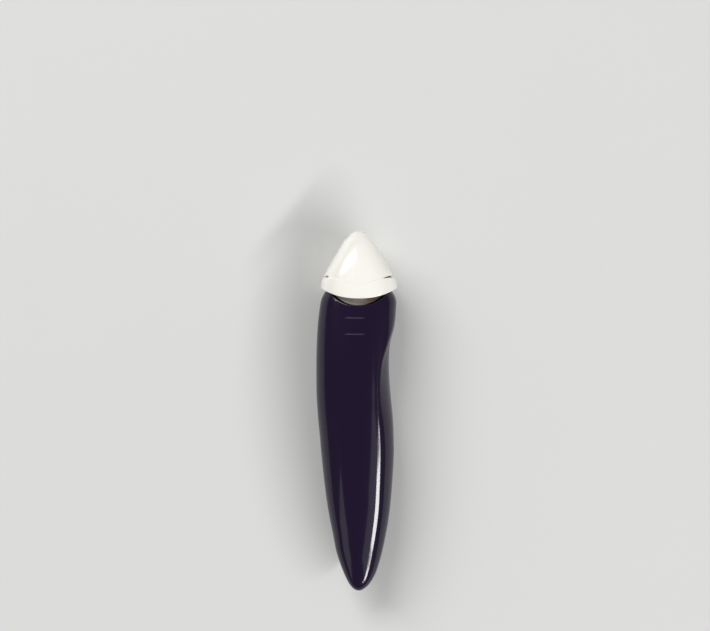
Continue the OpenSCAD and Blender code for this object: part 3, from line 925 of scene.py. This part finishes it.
def finished_copy(node, name, material, bevel_mm=BEVEL_MM, angle=BEVEL_ANGLE):
    """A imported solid's own shape with its flats cleaned and its edges slightly rounded."""
    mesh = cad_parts[node].data.copy()
    mesh.materials.clear()
    work = bmesh.new()
    work.from_mesh(mesh)
    bmesh.ops.remove_doubles(work, verts=work.verts, dist=COPY_WELD)
    bmesh.ops.dissolve_limit(
        work, angle_limit=math.radians(FLAT_ANGLE), verts=work.verts, edges=work.edges)
    work.to_mesh(mesh)
    work.free()
    mesh.materials.append(material)
    piece = placed(name, mesh)
    bevel = piece.modifiers.new("edge", "BEVEL")
    bevel.width = bevel_mm * MM
    bevel.segments = 2
    bevel.limit_method = "ANGLE"
    bevel.angle_limit = math.radians(angle)
    bake_modifiers(piece, angle)
    return piece


fork_white, _ = moulded_plastic(
    "fork_white", (0.8, 0.8, 0.77), (0.84, 0.84, 0.81), 0.35, 0.5, 0.01)
dusted(fork_white, 9.0)
fork = finished_copy("wheel_fork", "fork_moulding", fork_white)
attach(fork, "cartridge")
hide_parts("wheel_fork")


STEEL_SHADE = 0.86
STEEL_SPREAD = (0.7, 1.4)


def two_tone(nodes, links, surface, mask, dark, light):
    """Colours a surface between a darker and a lighter tone by a mask."""
    tone = nodes.new("ShaderNodeMix")
    tone.data_type = "RGBA"
    tone.inputs["A"].default_value = (*dark, 1.0)
    tone.inputs["B"].default_value = (*light, 1.0)
    links.new(mask, tone.inputs["Factor"])
    links.new(tone.outputs["Result"], surface.inputs["Base Color"])


def ground_steel(name, color, roughness, grain_scale):
    """Steel with the fine lines of grinding across the piece."""
    material, nodes, links, surface = blank_material(name)
    vector = object_vector(nodes)
    stretched = nodes.new("ShaderNodeMapping")
    stretched.inputs["Scale"].default_value = grain_scale
    links.new(vector, stretched.inputs["Vector"])
    lines = noise_on(nodes, links, stretched.outputs["Vector"], 1.0, 3.0)
    two_tone(nodes, links, surface, lines, [c * STEEL_SHADE for c in color], color)
    uneven = spread(nodes, links, lines, *[roughness * share for share in STEEL_SPREAD])
    links.new(uneven, surface.inputs["Roughness"])
    bump_on(nodes, links, surface, lines, 0.2, 0.000005)
    surface.inputs["Metallic"].default_value = 1.0
    return material


axle_steel = ground_steel("ground_axle_steel", (0.62, 0.62, 0.64), 0.22, (9000.0, 300.0, 300.0))
axle = finished_copy("wheel_axle", "axle_pin", axle_steel, 0.12)
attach(axle, "cartridge")
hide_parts("wheel_axle")

# The toothed wheel
# A stamped steel disc with bevelled teeth and a raised hub, free on the axle. It picks the
# chalk up inside the nose and lays it on the cloth as a fine line.
TEETH = 28
TOOTH_DEPTH = 0.6
HUB_R = 1.6
HUB_W = 1.2
AXLE_HOLE_R = 0.85
RIM_BEVEL = 0.14
TOOTH_FOOT = 0.25
TOOTH_TIP = (0.06, 0.09)
TIP_NARROWING = 0.3
HUB_EDGE = 0.1
DISH = 0.08
DISC_STEPS = 4 * TEETH
DISC_CREASE = 25.0


def tooth_mesh():
    """One tooth, pointing along X from the root circle, with bevelled flanks."""
    root = WHEEL_R - TOOTH_DEPTH
    half_pitch = math.pi * root / TEETH
    half_t = WHEEL_T / 2
    back, half_w = TOOTH_TIP
    outline = [
        (root - TOOTH_FOOT, half_pitch), (root, half_pitch), (WHEEL_R - back, half_w),
        (WHEEL_R, 0.0)]
    outline = outline + [(x, -y) for x, y in reversed(outline[:-1])]
    layers = [
        (-half_t, RIM_BEVEL), (-half_t + RIM_BEVEL, 0.0), (half_t - RIM_BEVEL, 0.0),
        (half_t, RIM_BEVEL)]
    points = []
    for z, pull in layers:
        for x, y in outline:
            ends = max((x - root) / TOOTH_DEPTH, 0.0)
            narrow = 1 - TIP_NARROWING * pull / RIM_BEVEL * ends
            points.append(((x - pull * ends) * MM, y * narrow * MM, z * MM))
    n = len(outline)
    faces = [tuple(range(n))[::-1], tuple(range(3 * n, 4 * n))] + ring_faces(len(layers), n)
    mesh = bpy.data.meshes.new("tooth")
    mesh.from_pydata(points, [], faces)
    return mesh


def tooth_ring_tree():
    """Geometry nodes: the tooth set round a circle, each turned to face outwards."""
    tree, nodes, links, given, result = new_group(
        "tooth_ring", "GeometryNodeTree",
        [("Geometry", "Geometry"), ("Teeth", "Int"), ("Material", "Material")],
        [("Geometry", "Geometry")])
    line = nodes.new("GeometryNodeMeshLine")
    links.new(given.outputs["Teeth"], line.inputs["Count"])
    line.inputs["Offset"].default_value = (0.0, 0.0, 0.0)
    index = nodes.new("GeometryNodeInputIndex")
    share = nodes.new("ShaderNodeMath")
    share.operation = "DIVIDE"
    links.new(index.outputs["Index"], share.inputs[0])
    links.new(given.outputs["Teeth"], share.inputs[1])
    turn = nodes.new("ShaderNodeMath")
    turn.operation = "MULTIPLY"
    turn.inputs[1].default_value = 2 * math.pi
    links.new(share.outputs["Value"], turn.inputs[0])
    angles = nodes.new("ShaderNodeCombineXYZ")
    links.new(turn.outputs["Value"], angles.inputs["Z"])
    copies = nodes.new("GeometryNodeInstanceOnPoints")
    links.new(line.outputs["Mesh"], copies.inputs["Points"])
    links.new(given.outputs["Geometry"], copies.inputs["Instance"])
    links.new(angles.outputs["Vector"], copies.inputs["Rotation"])
    real = nodes.new("GeometryNodeRealizeInstances")
    links.new(copies.outputs["Instances"], real.inputs["Geometry"])
    dress = nodes.new("GeometryNodeSetMaterial")
    links.new(real.outputs["Geometry"], dress.inputs["Geometry"])
    links.new(given.outputs["Material"], dress.inputs["Material"])
    links.new(dress.outputs["Geometry"], result.inputs["Geometry"])
    return tree


def ring_of_teeth(material):
    """The mesh of all the teeth."""
    piece = placed("teeth", tooth_mesh())
    tree = tooth_ring_tree()
    modifier = piece.modifiers.new("ring", "NODES")
    modifier.node_group = tree
    for item in tree.interface.items_tree:
        if item.in_out == "INPUT" and item.name == "Teeth":
            modifier[item.identifier] = TEETH
        if item.in_out == "INPUT" and item.name == "Material":
            modifier[item.identifier] = material
    mesh = evaluated_mesh(piece)
    bpy.data.objects.remove(piece)
    return mesh


def wheel_piece(material):
    """The disc is turned from a profile, joined to the ring of teeth, and set on the axle."""
    work = bmesh.new()
    work.from_mesh(ring_of_teeth(material))
    root = WHEEL_R - TOOTH_DEPTH
    half_t, half_hub = WHEEL_T / 2, HUB_W / 2
    profile = [
        (AXLE_HOLE_R, half_hub), (HUB_R - HUB_EDGE, half_hub), (HUB_R, half_hub - HUB_EDGE),
        (HUB_R, half_t), (HUB_R + 0.5, half_t), (HUB_R + 0.65, half_t - DISH),
        (root - 0.75, half_t - DISH), (root - 0.6, half_t), (root - 0.05, half_t),
    ]
    profile = profile + [(r, -z) for r, z in reversed(profile)]
    rings = []
    for k in range(DISC_STEPS):
        a = 2 * math.pi * k / DISC_STEPS
        places = [(r * math.cos(a) * MM, r * math.sin(a) * MM, z * MM) for r, z in profile]
        rings.append([work.verts.new(place) for place in places])
    for k in range(DISC_STEPS):
        here, there = rings[k], rings[(k + 1) % DISC_STEPS]
        for c in range(len(profile)):
            d = (c + 1) % len(profile)
            work.faces.new((here[c], here[d], there[d], there[c]))
    bmesh.ops.recalc_face_normals(work, faces=work.faces)
    for vert in work.verts:
        x, y, z = vert.co
        vert.co = Vector((AXIS_X * MM + z, WHEEL_Y * MM + x, AXIS_Z * MM + y))
    sharpen(work, DISC_CREASE)
    piece = placed_work("wheel_stamping", work)
    piece.data.materials.clear()
    piece.data.materials.append(material)
    return piece


wheel_steel = ground_steel(
    "stamped_wheel_steel", (0.58, 0.58, 0.6), 0.28, (800.0, 4000.0, 4000.0))
dusted(wheel_steel, 7.0)
wheel = wheel_piece(wheel_steel)
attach(wheel, "wheel")
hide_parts("toothed_wheel")

# The chalk container, its plug and the chalk
# A thin natural plastic tube, cloudy enough to show how much powder is left, closed at the
# rear by a soft grey plug. The powder fills it and shows through the wall.
RUBBER_ROUGHNESS = (0.55, 0.8)
CHALK_ROUGHNESS = (0.85, 1.0)


def cloudy_plastic():
    material, surface = moulded_plastic(
        "cloudy_plastic", (0.82, 0.86, 0.87), (0.88, 0.9, 0.9), 0.3, 0.45, 0.012)
    surface.inputs["Transmission Weight"].default_value = 0.55
    surface.inputs["IOR"].default_value = 1.49
    return material


def grey_rubber():
    material, nodes, links, surface = blank_material("soft_grey_rubber")
    vector = object_vector(nodes)
    mottle = noise_on(nodes, links, vector, 500.0, 4.0)
    two_tone(nodes, links, surface, mottle, (0.06, 0.06, 0.064), (0.1, 0.1, 0.105))
    patches = noise_on(nodes, links, vector, 900.0)
    links.new(spread(nodes, links, patches, *RUBBER_ROUGHNESS), surface.inputs["Roughness"])
    grain = noise_on(nodes, links, vector, 3000.0, 3.0)
    bump_on(nodes, links, surface, grain, 0.3, 0.00002)
    return material


def chalk_powder():
    material, nodes, links, surface = blank_material("white_chalk_powder")
    grain = noise_on(nodes, links, object_vector(nodes), 2400.0, 5.0)
    two_tone(nodes, links, surface, grain, (0.8, 0.8, 0.78), (0.93, 0.93, 0.91))
    links.new(spread(nodes, links, grain, *CHALK_ROUGHNESS), surface.inputs["Roughness"])
    bump_on(nodes, links, surface, grain, 0.7, 0.0001)
    return material


container = finished_copy("chalk_container", "container_tube", cloudy_plastic(), 0.12)
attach(container, "cartridge")
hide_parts("chalk_container")
plug = finished_copy("container_plug", "plug_moulding", grey_rubber(), 0.25)
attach(plug, "cartridge")
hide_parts("container_plug")
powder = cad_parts["chalk_powder"]
powder.data.materials.clear()
powder.data.materials.append(chalk_powder())

# The sleeve
# A natural grey moulding between the shells: a blind tube for the container, held by two
# flanges that follow the inside of the handle.
sleeve_grey, _ = moulded_plastic(
    "natural_grey_plastic", (0.42, 0.42, 0.44), (0.47, 0.47, 0.49), 0.4, 0.55, 0.015)
sleeve = finished_copy("cartridge_sleeve", "sleeve_moulding", sleeve_grey, 0.1)
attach(sleeve, "handle")
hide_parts("cartridge_sleeve")

# The cap
# Ivory plastic with a high gloss. A grip band stands out round its foot and runs down to
# the middle of the front, and a short slit at each side lets the rim give over the nose.
CAP_LINE = np.array([
    (0, 0, 0), (3, 18.5, 27), (7, 26, 40), (16, 41, 60), (29, 55.5, 76),
    (45, 72, 89.5), (61, 88, 96.5), (72, 94.5, 99), (86, 99.5, 100), (100, 100, 100),
]) / 100.0
CAP_WALL = 1.1
CAP_GAP = 0.3
BAND_SIDE = 3.3
BAND_MIDDLE = 3.8
BAND_OUT = 0.4
BAND_OUT_FRONT = 0.32
BAND_RISE_SHARE = 0.45
SLIT_H = 0.58
SLIT_DEPTH = 0.6
CAP_COLUMNS = 240
CAP_ROWS = 110
BAND_ROWS = 24
BAND_EDGE = 0.8
BAND_CURVE = 1.6
BAND_TAPER = 0.25
LIP = 0.35
# Shares of the way to the side between which the slits open, and the band stands out more
SLIT_RIGHT = (0.66, 0.86)
SLIT_LEFT = (0.84, 0.97)
SLIT_WIDENS = (0.66, 0.95)
SLIT_NARROW = 0.4
BAND_STANDS = (0.55, 0.95)
# Share of the slit's height, share of its depth, share of the band's height
SLIT_LINE = (
    (0.04, 0.25, 0.0), (0.1, 1.0, 0.0), (0.4, 1.0, 0.0), (0.9, 1.0, 0.0), (0.95, 0.2, 0.65))
# Distance below the band's upper edge, share of the band's height
BAND_EDGE_LINE = ((0.0, 0.8), (0.1, 0.87), (0.3, 0.95), (0.55, 0.99), (BAND_EDGE, 1.0))
# Distance below the lip's start, distance inwards: outside, then inside
LIP_OUTSIDE = ((0.2, 0.06), (0.3, 0.16), (LIP, 0.34))
LIP_INSIDE = ((LIP, CAP_WALL - 0.12), (0.25, CAP_WALL))

rim_share = (APEX_Y - CAP_LEN - TAIL_Y) / HANDLE_LEN
CAP_HALF_W = edges_at(1.0)[1] + CAP_GAP + CAP_WALL
CAP_HALF_H = depth_at(rim_share) + CAP_GAP + CAP_WALL


def cap_points(down, turn, grow):
    """Points of the cap at a distance below its apex, moved outwards by grow."""
    share = down / CAP_LEN
    wide = CAP_HALF_W * smooth_curve(CAP_LINE, 1, share) + grow
    outward = np.where(turn < 180.0, BAND_RISE_SHARE * np.maximum(grow, 0.0), 0.0)
    deep = CAP_HALF_H * smooth_curve(CAP_LINE, 2, share) + outward + np.minimum(grow, 0.0)
    x = AXIS_X + np.maximum(wide, 0.0) * square_x(turn)
    z = AXIS_Z + np.maximum(deep, 0.0) * square_z(turn)
    return np.stack([x, APEX_Y - down, z], axis=-1)


def band_top(turn):
    """Distance from the apex to the band's upper edge, which runs down to the middle."""
    side = np.abs(square_x(turn))
    at_side = CAP_LEN - RIM_RISE - BAND_SIDE
    at_middle = CAP_LEN - BAND_MIDDLE
    return at_middle + (at_side - at_middle) * (1 - (1 - side) ** BAND_CURVE)


def cap_piece(material):
    """The cap: its dome, the slits, the band, the lip and the inside."""
    turns = np.linspace(0.0, 360.0, CAP_COLUMNS, endpoint=False)
    side = np.abs(square_x(turns))
    slit = np.where(square_x(turns) > 0, ease(side, *SLIT_RIGHT), ease(side, *SLIT_LEFT))
    span = SLIT_H * (SLIT_NARROW + (1 - SLIT_NARROW) * ease(side, *SLIT_WIDENS))
    stand = BAND_OUT_FRONT + (BAND_OUT - BAND_OUT_FRONT) * ease(side, *BAND_STANDS)
    top = band_top(turns)
    rim = rim_down(turns)
    rows, grime = [], []

    def add(down, grow, painted_shade_here=0.0):
        rows.append(cap_points(down, turns, grow))
        grime.append(np.broadcast_to(painted_shade_here, turns.shape))

    for k in range(CAP_ROWS + 1):
        add((top - span) * (k / CAP_ROWS) ** ROW_CROWDING, 0 * turns)
    for share, sunk, out in SLIT_LINE:
        # The slits' floors carry painted shade, a dark brown where the recess is shaded
        add(top - span + span * share, stand * out * 0.9 - SLIT_DEPTH * sunk * slit, sunk * slit)
    for down, out in BAND_EDGE_LINE:
        add(top + down, stand * out)
    lower = rim - LIP
    for k in range(1, BAND_ROWS + 1):
        down = top + BAND_EDGE + (lower - top - BAND_EDGE) * k / BAND_ROWS
        add(down, stand * (1 - BAND_TAPER * k / BAND_ROWS))
    for down, back in LIP_OUTSIDE:
        add(lower + down, stand * (1 - BAND_TAPER) - back)
    for down, back in LIP_INSIDE:
        add(lower + down, 0 * turns - back)
    for k in range(CAP_ROWS // 2, -1, -1):
        share = (k / (CAP_ROWS // 2)) ** ROW_CROWDING
        add(CAP_WALL + (lower - CAP_WALL) * share, 0 * turns - CAP_WALL)
    points = np.array(rows)
    points[-1] = points[-1].mean(axis=0)
    faces = ring_faces(points.shape[0], CAP_COLUMNS)
    return mesh_from("cap_moulding", points.reshape(-1, 3), faces, material, grime=np.array(grime))


ivory, ivory_surface = moulded_plastic(
    "ivory_gloss", (0.96, 0.935, 0.855), (0.97, 0.95, 0.885), 0.22, 0.32, 0.008, coat=0.5, ior=1.4)
ivory_surface.inputs["Subsurface Weight"].default_value = 0.12
ivory_surface.inputs["Subsurface Radius"].default_value = (1.0, 0.85, 0.6)
ivory_surface.inputs["Subsurface Scale"].default_value = 0.0008
# Painted shade in the cap's slits, where the piece's attribute asks for it
grimed(ivory)
cap = cap_piece(ivory)
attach(cap, "cap")
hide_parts("protective_cap")
